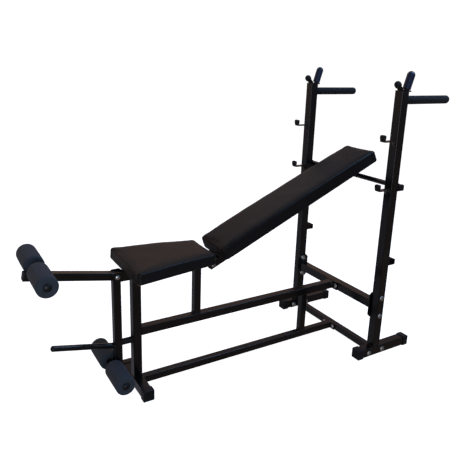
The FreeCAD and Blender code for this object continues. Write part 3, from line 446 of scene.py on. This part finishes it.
def make_studio():
    """Pale floor, clear from below, in a room warmer at the back, with soft lights."""
    bpy.ops.mesh.primitive_plane_add(size=40, location=(0, 0, -0.0005))
    floor = bpy.context.object
    floor.name = "studio_floor"
    pale = Finish("studio_floor", Specular_IOR_Level=0.0, Emission_Color=(1, 1, 1, 1),
                  Emission_Strength=1.0)
    shade = pale.speckle(0.6, 3)
    floor.data.materials.append(
        pale.surface(pale.tint((0.88, 0.88, 0.88), (0.90, 0.90, 0.90), shade),
                     0.9 + shade * 0.05, pale.speckle(300, 2), 0.0001, 0.05))
    above = Signal(pale, pale.shader.outputs[0])
    one_sided = pale.add("ShaderNodeMixShader", {}, {
        0: pale.add("ShaderNodeNewGeometry", output="Backfacing"),
        1: above, 2: pale.add("ShaderNodeBsdfTransparent")})
    pale.feed(pale.tree.nodes["Material Output"].inputs["Surface"], one_sided)
    floor.visible_glossy = False
    floor.visible_diffuse = False

    world = bpy.data.worlds.new("studio")
    scene.world = world
    world.use_nodes = True
    tree = world.node_tree
    room = tree.nodes["Background"]
    white = tree.nodes.new("ShaderNodeBackground")
    white.inputs["Color"].default_value = (1, 1, 1, 1)
    white.inputs["Strength"].default_value = 1.05
    seen = tree.nodes.new("ShaderNodeLightPath")
    either = tree.nodes.new("ShaderNodeMixShader")
    tree.links.new(seen.outputs["Is Camera Ray"], either.inputs[0])
    tree.links.new(room.outputs[0], either.inputs[1])
    tree.links.new(white.outputs[0], either.inputs[2])
    tree.links.new(either.outputs[0], tree.nodes["World Output"].inputs["Surface"])
    outward = tree.nodes.new("ShaderNodeTexCoord")
    parts = tree.nodes.new("ShaderNodeSeparateXYZ")
    tree.links.new(outward.outputs["Generated"], parts.inputs[0])

    def ramp(axis, low, high):
        """Mask that rises along one axis of the room."""
        rise = tree.nodes.new("ShaderNodeMapRange")
        rise.inputs["From Min"].default_value = low
        rise.inputs["From Max"].default_value = high
        tree.links.new(parts.outputs[axis], rise.inputs["Value"])
        return rise.outputs[0]

    def shade_of(mask, first, second):
        """Blend two shades of the room by a mask."""
        both = tree.nodes.new("ShaderNodeMix")
        both.data_type = "RGBA"
        tree.links.new(mask, both.inputs[0])
        for number, colour in ((6, first), (7, second)):
            if isinstance(colour, tuple):
                both.inputs[number].default_value = (*colour, 1)
            else:
                tree.links.new(colour, both.inputs[number])
        return both.outputs[2]

    far = ramp("Y", -0.4, 0.9)
    wall = shade_of(ramp("Z", 0.25, 0.6), (0.38, 0.235, 0.155),
                    (0.115, 0.095, 0.122))
    walls = shade_of(far, (0.075, 0.095, 0.135), wall)
    ground = shade_of(far, (0.10, 0.080, 0.070), (0.17, 0.17, 0.20))
    whole = shade_of(ramp("Z", 0.02, -0.12), walls, ground)
    tree.links.new(whole, room.inputs["Color"])

    for name, place, aim, size, power, colour in (
            ("window_light", (1.5, -0.9, 3.0), (0, 0, 0.5), 1.3, 33,
             (0.36, 0.60, 1.0)),
            ("ceiling_light", (0.3, 1.6, 3.0), (0, 0, 0.4), 2.4, 9,
             (1.0, 0.86, 0.76)),
            ("front_light", (-1.6, -2.8, 0.9), (-0.3, 0, 0.4), 1.8, 24,
             (0.80, 0.90, 1.0))):
        bpy.ops.object.light_add(type="AREA", location=place)
        lamp = bpy.context.object
        lamp.name = name
        lamp.data.size = size
        lamp.data.energy = power
        lamp.data.color = colour
        way = Vector(aim) - Vector(place)
        lamp.rotation_euler = way.to_track_quat("-Z", "Y").to_euler()
    scene.view_settings.view_transform = "Standard"


# -------------------------------------------------------- cushions

def cushion_blank(name, length, front_width, rear_width, low, high, corner, edge):
    """Block of foam, wider at one end, with rounded corners and a rounded top edge."""
    bpy.ops.mesh.primitive_cube_add(size=1, location=(length / 2, 0, (low + high) / 2),
                                    scale=(length, front_width, high - low))
    settle(bpy.context.object)
    piece = started(name)
    pick(piece, lambda face: face.normal.x > 0.9)
    bpy.ops.transform.resize(value=(1, rear_width / front_width, 1),
                             center_override=(length, 0, 0))
    pick(piece, lambda rim: abs(rim.verts[0].co.z - rim.verts[1].co.z) > 0.01, "EDGE")
    bpy.ops.mesh.bevel(offset=corner, segments=6, affect="EDGES")
    pick(piece, lambda rim: min(end.co.z for end in rim.verts) > high - 1e-5, "EDGE")
    bpy.ops.mesh.bevel(offset=edge, segments=5, affect="EDGES")
    return settle(piece)


def swell(piece, low, voxel, pressure, cap):
    """Blow the vinyl up over its foam as cloth, with the underside held flat."""
    alone(piece)
    skin = piece.modifiers.new("skin", "REMESH")
    skin.mode = "VOXEL"
    skin.voxel_size = voxel
    bpy.ops.object.modifier_apply(modifier=skin.name)
    before = [point.co.copy() for point in piece.data.vertices]
    held = piece.vertex_groups.new(name="held")
    flat = [number for number, place in enumerate(before) if place.z < low + voxel]
    held.add(flat, 1.0, "REPLACE")
    cloth = piece.modifiers.new("vinyl", "CLOTH")
    cloth.settings.use_pressure = True
    cloth.settings.uniform_pressure_force = pressure
    cloth.settings.effector_weights.gravity = 0
    cloth.settings.vertex_group_mass = held.name
    cloth.settings.quality = 6
    last_frame = 20
    cloth.point_cache.frame_start = 1
    cloth.point_cache.frame_end = last_frame
    for number in range(1, last_frame + 1):
        scene.frame_set(number)
    bpy.ops.object.modifier_apply(modifier=cloth.name)
    scene.frame_set(1)
    for point, start in zip(piece.data.vertices, before):
        move = point.co - start
        if move.length > 1e-9:
            point.co = start + move * (cap / (cap + move.length))
    piece.vertex_groups.clear()
    smooth = piece.modifiers.new("smooth", "SUBSURF")
    smooth.levels = 1
    smooth.render_levels = 1
    bpy.ops.object.modifier_apply(modifier=smooth.name)


def with_normals(piece):
    """Each point of a mesh with its normal as it was before any point moves."""
    points = piece.data.vertices
    return list(zip(points, [point.normal.copy() for point in points]))


def pull_pleats(piece, corners, low, high, reach, depth):
    """Draw small pleats into the sides round each corner, deepest at the lower edge."""
    for point, normal in with_normals(piece):
        for corner in corners:
            out = Vector((point.co.x, point.co.y)) - corner
            if out.length > reach or point.co.z < low + 0.0005:
                continue
            angle = math.atan2(out.y, out.x)
            near = 1 - out.length / reach
            down = 1 - (point.co.z - low) / (high - low)
            wave = 0.5 + 0.5 * math.sin(angle * 17 + corner.x * 40)
            point.co -= normal * depth * wave * min(1, 2 * near) * max(0, down) ** 0.7


def soften(piece, depth, scale):
    """Give a broad face the slight unevenness of foam under vinyl."""
    for point, normal in with_normals(piece):
        if normal.z > -0.5:
            point.co += normal * depth * noise.noise(point.co * scale)


def open_underside(piece, length, front_width, rear_width, low, lap, rise):
    """Leave only a lap of vinyl below the board, with straight inner edges."""
    alone(piece)
    bpy.ops.object.mode_set(mode="EDIT")
    lean = math.atan((front_width - rear_width) / 2 / length)
    cuts = [((lap, 0, 0), (1, 0, 0)), ((length - lap, 0, 0), (1, 0, 0))]
    for side, _ in SIDES:
        half = side * (front_width / 2 - lap / math.cos(lean))
        cuts.append(((0, half, 0), (math.sin(lean), side * math.cos(lean), 0)))

    def below(face):
        return face.normal.z < -0.95 and face.calc_center_median().z < low + 0.002

    for place, across in cuts:
        pick(piece, below)
        bpy.ops.mesh.bisect(plane_co=place, plane_no=across)

    def inside(face):
        centre = face.calc_center_median()
        half = front_width / 2 - lap / math.cos(lean) - centre.x * math.tan(lean)
        return below(face) and lap < centre.x < length - lap and abs(centre.y) < half

    pick(piece, inside)
    bpy.ops.mesh.extrude_region_move(TRANSFORM_OT_translate={"value": (0, 0, rise)})
    return settle(piece)


def sink_ends(piece, length, low, high, reach, depth):
    """Lower the top of a cushion towards both of its ends."""
    for point in piece.data.vertices:
        near = max(0, 1 - min(point.co.x, length - point.co.x) / reach)
        up = max(0, (point.co.z - low) / (high - low))
        point.co.z -= depth * near * near * up


def make_cushion(name, node, body, place, sizes, low, high, droop):
    """Upholstered cushion that wraps round its board and laps under it."""
    slack = 0.0005
    length, front_width, rear_width = [size - 2 * slack for size in sizes]
    piece = cushion_blank(name, length, front_width, rear_width, low, high,
                          corner=0.017, edge=0.008)
    swell(piece, low, voxel=0.005, pressure=4.0, cap=0.0055)
    inset = 0.022
    half, other = sizes[1] / 2 - inset, sizes[2] / 2 - inset
    corners = [Vector((inset, half)), Vector((inset, -half)),
               Vector((length - inset, other)), Vector((length - inset, -other))]
    pull_pleats(piece, corners, low, high, reach=0.040, depth=0.0016)
    sink_ends(piece, length, low, high, reach=0.22, depth=droop)
    soften(piece, depth=0.0012, scale=14)
    open_underside(piece, length, front_width, rear_width, low, lap=0.024, rise=0.0112)
    settle(piece, place @ Matrix.Translation((slack, 0, 0)))
    finished(piece, VINYL, body, 60)
    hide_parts(node)


def staple_row(name, body, place, sizes, low):
    """Wire staples that hold the vinyl to the underside of a board."""
    length, front_width, rear_width = sizes
    bpy.ops.mesh.primitive_cube_add(size=1, location=(0, 0, low - 0.0004),
                                    scale=(0.010, 0.0012, 0.0009))
    settle(bpy.context.object)
    staple = started(name + "_first")
    pick(staple, lambda rim: rim.calc_length() > 0.005, "EDGE")
    bpy.ops.mesh.bevel(offset=0.0004, segments=2, affect="EDGES")
    pick(staple, lambda face: abs(face.normal.x) > 0.9)
    bpy.ops.mesh.bevel(offset=0.0003, segments=2, affect="EDGES")
    settle(staple)
    row = []
    inset, pitch = 0.014, 0.045
    lean = math.atan((front_width - rear_width) / 2 / length)
    count = round(length / pitch)
    for number in range(count):
        along = length * (number + 0.5) / count
        for side, _ in SIDES:
            half = front_width / 2 - along * math.tan(lean) - inset
            row.append((along, side * half, -side * lean + 0.12 * (-1) ** number))
    for along, width in ((inset, front_width), (length - inset, rear_width)):
        count = round(width / pitch)
        for number in range(count):
            row.append((along, width * ((number + 0.5) / count - 0.5),
                        math.pi / 2 + 0.1 * (-1) ** number))
    wires = []
    for number, (along, across, turn) in enumerate(row):
        spot = Matrix.Translation((along, across, 0)) @ Matrix.Rotation(turn, 4, "Z")
        wires.append(twin(staple, "%s_%d" % (name, number), spot))
    bpy.data.objects.remove(staple)
    finished(settle(joined(wires, name), place), ZINC, body)


def make_cushions():
    """Seat cushion and backrest cushion, each with its staples."""
    vinyl = 0.0007
    low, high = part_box("seat_pad")
    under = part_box("seat_board")[0].z - vinyl
    seat_place = Matrix.Translation((low.x, 0, 0))
    sizes = (high.x - low.x, 0.322, 0.204)
    make_cushion("seat_cushion", "seat_pad", "frame", seat_place, sizes, under,
                 high.z + 0.0015, droop=0.004)
    staple_row("seat_staples", "frame", seat_place, sizes, under)

    hinge_to_cushion, thickness = 0.038, 0.055
    tilt = Matrix.Translation(BACK_HINGE) @ Matrix.Rotation(-BACK_SLOPE, 4, "Y")
    back_place = tilt @ Matrix.Translation((hinge_to_cushion, 0, 0))
    sizes = (0.870, 0.194, 0.194)
    under = STRUT / 2 - vinyl
    make_cushion("back_cushion", "back_pad", "backrest", back_place, sizes, under,
                 STRUT / 2 + thickness, droop=0.006)
    staple_row("back_staples", "backrest", back_place, sizes, under)


# -------------------------------------------------------- foam pieces

# radius of a roller's end and how far in it is from the outermost ring
ROLLER_END = ((0.0116, 0.0032), (0.0150, 0.0014), (0.0200, 0.0004), (0.0300, 0),
              (0.0335, 0.0005), (0.0356, 0.0024), (0.0367, 0.0055), (0.0369, 0.0120),
              (0.0370, 0.0300))
ROLLER_MIDDLE = 0.0371


def make_rollers():
    """Foam rollers: slightly barrelled, soft at the rims and sunken at the rod."""
    for level in ("upper", "lower"):
        for side, word in SIDES:
            node = "%s_%s_roller" % (level, word)
            low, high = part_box(node)
            half = (high.y - low.y) / 2
            end = [(wide, inward - half) for wide, inward in ROLLER_END]
            other_end = [(wide, -place) for wide, place in reversed(end)]
            piece = turned(node + "_foam", end + [(ROLLER_MIDDLE, 0)] + other_end,
                           sides=72, hollow=True)
            for point in piece.data.vertices:
                spot = point.co * 22 + Vector((side * 3.1, 0, 5.7 * (level == "upper")))
                away = Vector((point.co.x, point.co.y, 0))
                if away.length > 0.030:
                    point.co += away.normalized() * 0.0004 * noise.noise(spot)
            settle(piece, facing((0, 1, 0), (low + high) / 2))
            finished(piece, ROLLER_FOAM, node, 50)
            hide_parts(node)


def make_grips():
    """Foam grips of the dip handles, with a rolled mouth and a round closed end."""
    low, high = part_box("dip_grips")
    length = high.x - low.x
    height = (low.z + high.z) / 2
    for side, word in SIDES:
        steps = [(0.0129, 0.0010), (0.0146, 0), (0.0160, 0.0003), (0.0171, 0.0018),
                 (0.0172, 0.0040), (0.0166, 0.0058), (0.0172, 0.0076),
                 (0.0175, 0.0300), (0.0175, length / 2), (0.0175, length - 0.0110),
                 (0.0170, length - 0.0074), (0.0156, length - 0.0042),
                 (0.0132, length - 0.0020), (0.0090, length - 0.0006), (0.0040, length)]
        piece = turned("%s_grip_foam" % word, steps, sides=56)
        settle(piece, facing((1, 0, 0), (low.x, side * UPRIGHT_Y, height)))
        finished(piece, GRIP_FOAM, "frame", 50)
    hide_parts("dip_grips")


# -------------------------------------------------------- small hard pieces

CAP_WIDTH = 0.045
CAP_LENGTH = 0.030


def make_cap(name):
    """Square foot cap about its mouth at z = 0: soft edges and a ribbed end."""
    bpy.ops.mesh.primitive_cube_add(size=1, location=(0, 0, CAP_LENGTH / 2),
                                    scale=(CAP_WIDTH, CAP_WIDTH, CAP_LENGTH))
    settle(bpy.context.object)
    piece = started(name)
    pick(piece, lambda rim: middle(rim).z > 0.001, "EDGE")
    bpy.ops.mesh.bevel(offset=0.0024, segments=4, affect="EDGES")
    pick(piece, lambda face: face.normal.z > 0.99 and face.calc_area() > 0.001)
    bpy.ops.mesh.inset(thickness=0.003)
    bpy.ops.mesh.inset(thickness=0.0008, depth=-0.0010)
    bands = 13
    bpy.ops.mesh.subdivide(number_cuts=bands - 1)
    ribbed = 0.0326

    def in_groove(face):
        x, y, z = face.calc_center_median()
        flat = face.normal.z > 0.99 and abs(x) < ribbed / 2 and abs(y) < ribbed / 2
        band = int((x + ribbed / 2) / (ribbed / bands))
        return flat and z < CAP_LENGTH - 0.0005 and band % 2 == 1

    pick(piece, in_groove)
    bpy.ops.mesh.extrude_region_move(TRANSFORM_OT_translate={"value": (0, 0, -0.0012)})
    pick(piece, lambda face: face.normal.z < -0.99)
    bpy.ops.mesh.inset(thickness=0.0022)
    bpy.ops.mesh.extrude_region_move(TRANSFORM_OT_translate={"value": (0, 0, 0.0040)})
    return settle(piece)


def make_caps():
    """The six foot caps."""
    pattern = make_cap("cap_pattern")
    height = CAP_WIDTH / 2
    caps = {"rear_foot_caps": [], "front_foot_caps": []}
    low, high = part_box("rear_foot_caps")
    for side, word in SIDES:
        for ahead, x, end in ((-1, low.x, "front"), (1, high.x, "rear")):
            place = facing((ahead, 0, 0),
                           (x - ahead * CAP_LENGTH, side * UPRIGHT_Y, height))
            cap = twin(pattern, "%s_%s_cap" % (word, end), place)
            caps["rear_foot_caps"].append(cap)
    low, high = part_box("front_foot_caps")
    for (side, word), y in zip(SIDES, (low.y, high.y)):
        place = facing((0, side, 0),
                       ((low.x + high.x) / 2, y - side * CAP_LENGTH, height))
        caps["front_foot_caps"].append(twin(pattern, "%s_nose_cap" % word, place))
    bpy.data.objects.remove(pattern)
    for node, pieces in caps.items():
        for piece in pieces:
            finished(piece, CAP, "frame", 30)
        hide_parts(node)


def make_hook_tips():
    """Plump rubber tips on the lips of the hooks."""
    tip_height = 0.022
    low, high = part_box("hook_tips")
    bpy.ops.mesh.primitive_cube_add(size=1, location=(0, 0, 0.0120),
                                    scale=(0.0200, 0.0290, 0.0255))
    settle(bpy.context.object)
    pattern = started("tip_pattern")
    pick(pattern, lambda face: face.normal.z < -0.9)
    bpy.ops.transform.resize(value=(0.80, 0.94, 1), center_override=(0, 0, 0))
    bpy.ops.mesh.select_all(action="SELECT")
    bpy.ops.mesh.bevel(offset=0.0078, segments=3, affect="EDGES")
    settle(pattern)
    round_off = pattern.modifiers.new("round", "SUBSURF")
    round_off.levels = 2
    round_off.render_levels = 2
    bpy.ops.object.modifier_apply(modifier=round_off.name)
    tips = []
    for height in (low.z, high.z - tip_height):
        for side, word in SIDES:
            spot = Matrix.Translation(((low.x + high.x) / 2, side * UPRIGHT_Y, height))
            tips.append(twin(pattern, "%s_hook_tip" % word, spot))
    bpy.data.objects.remove(pattern)
    for tip in tips:
        finished(tip, RUBBER, "frame", 60)
    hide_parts("hook_tips")


def make_washers():
    """Zinc washers below the bolt heads and the nuts."""
    pattern = turned("washer_pattern", [(0.0054, 0), (0.0112, 0), (0.0117, 0.0005),
                                        (0.0117, 0.0012), (0.0112, 0.0017),
                                        (0.0054, 0.0017)], sides=40, hollow=True)
    spots = []
    foot_reach, crossbar_reach, rail_reach = 0.041, 0.043, 0.028
    outer, inner = UPRIGHT_Y + TUBE / 2, UPRIGHT_Y - TUBE / 2 - FLANGE
    for side, _ in SIDES:
        for end in (-1, 1):
            for x, z in ((UPRIGHT_X, CROSSBAR_Z + end * crossbar_reach),
                         (UPRIGHT_X + end * foot_reach, LOW_BOLT_Z)):
                spots.append(((0, side, 0), (x, side * outer, z)))
                spots.append(((0, -side, 0), (x, side * inner, z)))
        for tube, z in ((TUBE, CROSSBAR_Z), (STRUT, LOW_BOLT_Z)):
            front, back = UPRIGHT_X - tube / 2 - FLANGE, UPRIGHT_X + tube / 2
            spots.append(((-1, 0, 0), (front, side * rail_reach, z)))
            spots.append(((1, 0, 0), (back, side * rail_reach, z)))
    rings = [twin(pattern, "washer_%d" % number, facing(way, place))
             for number, (way, place) in enumerate(spots)]
    bpy.data.objects.remove(pattern)
    finished(joined(rings, "frame_washers"), ZINC, "frame")


# -------------------------------------------------------- weld beads

def bead_ring(place, way, size, thick=0.0019):
    """Bead round the end of a square tube, on the face that it stands on."""
    bpy.ops.mesh.primitive_plane_add(size=size + 0.0006)
    piece = started("bead")
    bpy.ops.mesh.select_all(action="SELECT")
    bpy.ops.mesh.bevel(offset=0.003, segments=4, affect="VERTICES")
    bpy.ops.mesh.select_all(action="SELECT")
    bpy.ops.mesh.delete(type="ONLY_FACE")
    alone(piece)
    bpy.ops.object.convert(target="CURVE")
    piece.data.bevel_depth = thick
    piece.data.bevel_resolution = 2
    bpy.ops.object.convert(target="MESH")
    return settle(bpy.context.object, facing(way, place))


def bead_line(start, end, thick):
    """Straight bead with round ends."""
    start, end = Vector(start), Vector(end)
    length = (end - start).length
    steps = [(thick * 0.5, 0), (thick * 0.85, thick * 0.3), (thick, thick),
             (thick * 1.04, length / 2), (thick, length - thick),
             (thick * 0.85, length - thick * 0.3), (thick * 0.5, length)]
    return settle(turned("bead", steps, sides=10), facing(end - start, start))


def bead_across(place, half, thick=0.0019):
    """Straight bead along Y, as far to one side of a place as to the other."""
    x, y, z = place
    return bead_line((x, y - half, z), (x, y + half, z), thick)


def bead_circle(place, way, radius, thick=0.0019):
    """Bead round the foot of a pipe."""
    bpy.ops.mesh.primitive_torus_add(major_radius=radius + 0.0003, minor_radius=thick,
                                     major_segments=40, minor_segments=8)
    piece = started("bead")
    bpy.ops.mesh.select_all(action="SELECT")
    bpy.ops.mesh.normals_make_consistent(inside=False)
    return settle(piece, facing(way, place))


def frame_beads():
    """Beads of the uprights, rails and struts and of what is welded to them."""
    beads = []
    clevis_low, clevis_high, clevis_plate = 0.471, 0.496, 0.005
    for side, _ in SIDES:
        y = side * UPRIGHT_Y
        for ahead in (-1, 1):
            x = UPRIGHT_X + ahead * TUBE / 2
            beads.append(bead_across((x, y, FOOT_TOP), 0.017))
        inner = side * (UPRIGHT_Y - TUBE / 2 - FLANGE)
        beads.append(bead_ring((UPRIGHT_X, inner, CROSSBAR_Z), (0, 1, 0), TUBE))
        beads.append(bead_circle((UPRIGHT_X + TUBE / 2, y, DIP_BAR_Z), (1, 0, 0),
                                 0.0125))
        for z in HOOK_HEIGHTS:
            for edge in (-1, 1):
                x, across = UPRIGHT_X - TUBE / 2, y + edge * 0.0125
                beads.append(bead_line((x, across, z - 0.016), (x, across, z + 0.002),
                                       0.0010))
        for outward in (0, clevis_plate):
            x, across = FRONT_POST_X - RAIL / 2, side * (STRUT / 2 + 0.0015 + outward)
            beads.append(bead_line((x, across, clevis_low), (x, across, clevis_high),
                                   0.0014))
    for node in ("upper_bar_brackets", "lower_bar_brackets"):
        low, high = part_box(node)
        for side, _ in SIDES:
            for z in (low.z + 0.001, high.z):
                beads.append(bead_across((low.x, side * UPRIGHT_Y, z), 0.016, 0.0015))
    beads.append(bead_ring((UPRIGHT_X - TUBE / 2 - FLANGE, 0, RAIL_Z), (1, 0, 0), RAIL))
    beads.append(bead_ring((SEAT_STRUT_X, 0, RAIL_Z + RAIL / 2), (0, 0, 1), STRUT))
    beads.append(bead_ring((REAR_STRUT_X, 0, LOW_RAIL_TOP), (0, 0, 1), STRUT - 0.001,
                           0.0014))
    for z in (RAIL_Z - RAIL / 2, RAIL_Z + RAIL / 2):
        beads.append(bead_across((FRONT_POST_X + RAIL / 2, 0, z), 0.014))
    for ahead in (-1, 1):
        beads.append(bead_across((FRONT_POST_X + ahead * RAIL / 2, 0, FOOT_TOP), 0.014))
    return beads


def lever_beads():
    """Beads of both roller rods, of the weight peg and of the arm on its drop tube."""
    upper_rod, lower_rod, peg = 0.2896, 0.370, 0.288
    rod_edge, bead_rise = 0.0075, 0.0022
    along = Vector((-math.cos(ARM_SLOPE), 0, math.sin(ARM_SLOPE)))
    up = Vector((math.sin(ARM_SLOPE), 0, math.cos(ARM_SLOPE)))
    beads = []
    rod_foot = LEVER_PIVOT + along * upper_rod + up * (STRUT / 2)
    for ahead in (-1, 1):
        spot = rod_foot + along * ahead * rod_edge + up * bead_rise
        beads.append(bead_across(spot, 0.013, 0.0021))
    for ahead in (-1, 1):
        spot = Vector((-STRUT / 2 - bead_rise, 0, -lower_rod + ahead * rod_edge))
        beads.append(bead_across(LEVER_PIVOT + spot, 0.013, 0.0021))
    beads.append(bead_circle(LEVER_PIVOT + Vector((-STRUT / 2, 0, -peg)), (-1, 0, 0),
                             0.0111))
    for ahead in (-1, 1):
        spot = LEVER_PIVOT - up * (STRUT / 2) + along * ahead * (STRUT / 2)
        beads.append(bead_across(spot, 0.013, 0.0018))
    return beads


def make_welds():
    """Beads wherever a tube, plate or pipe is welded to another."""
    finished(joined(frame_beads(), "frame_welds"), WELD, "frame", 60)
    finished(joined(lever_beads(), "leg_lever_welds"), WELD, "leg_lever",
             60)


make_camera()
make_studio()
make_cushions()
make_rollers()
make_grips()
make_caps()
make_hook_tips()
make_washers()
make_welds()
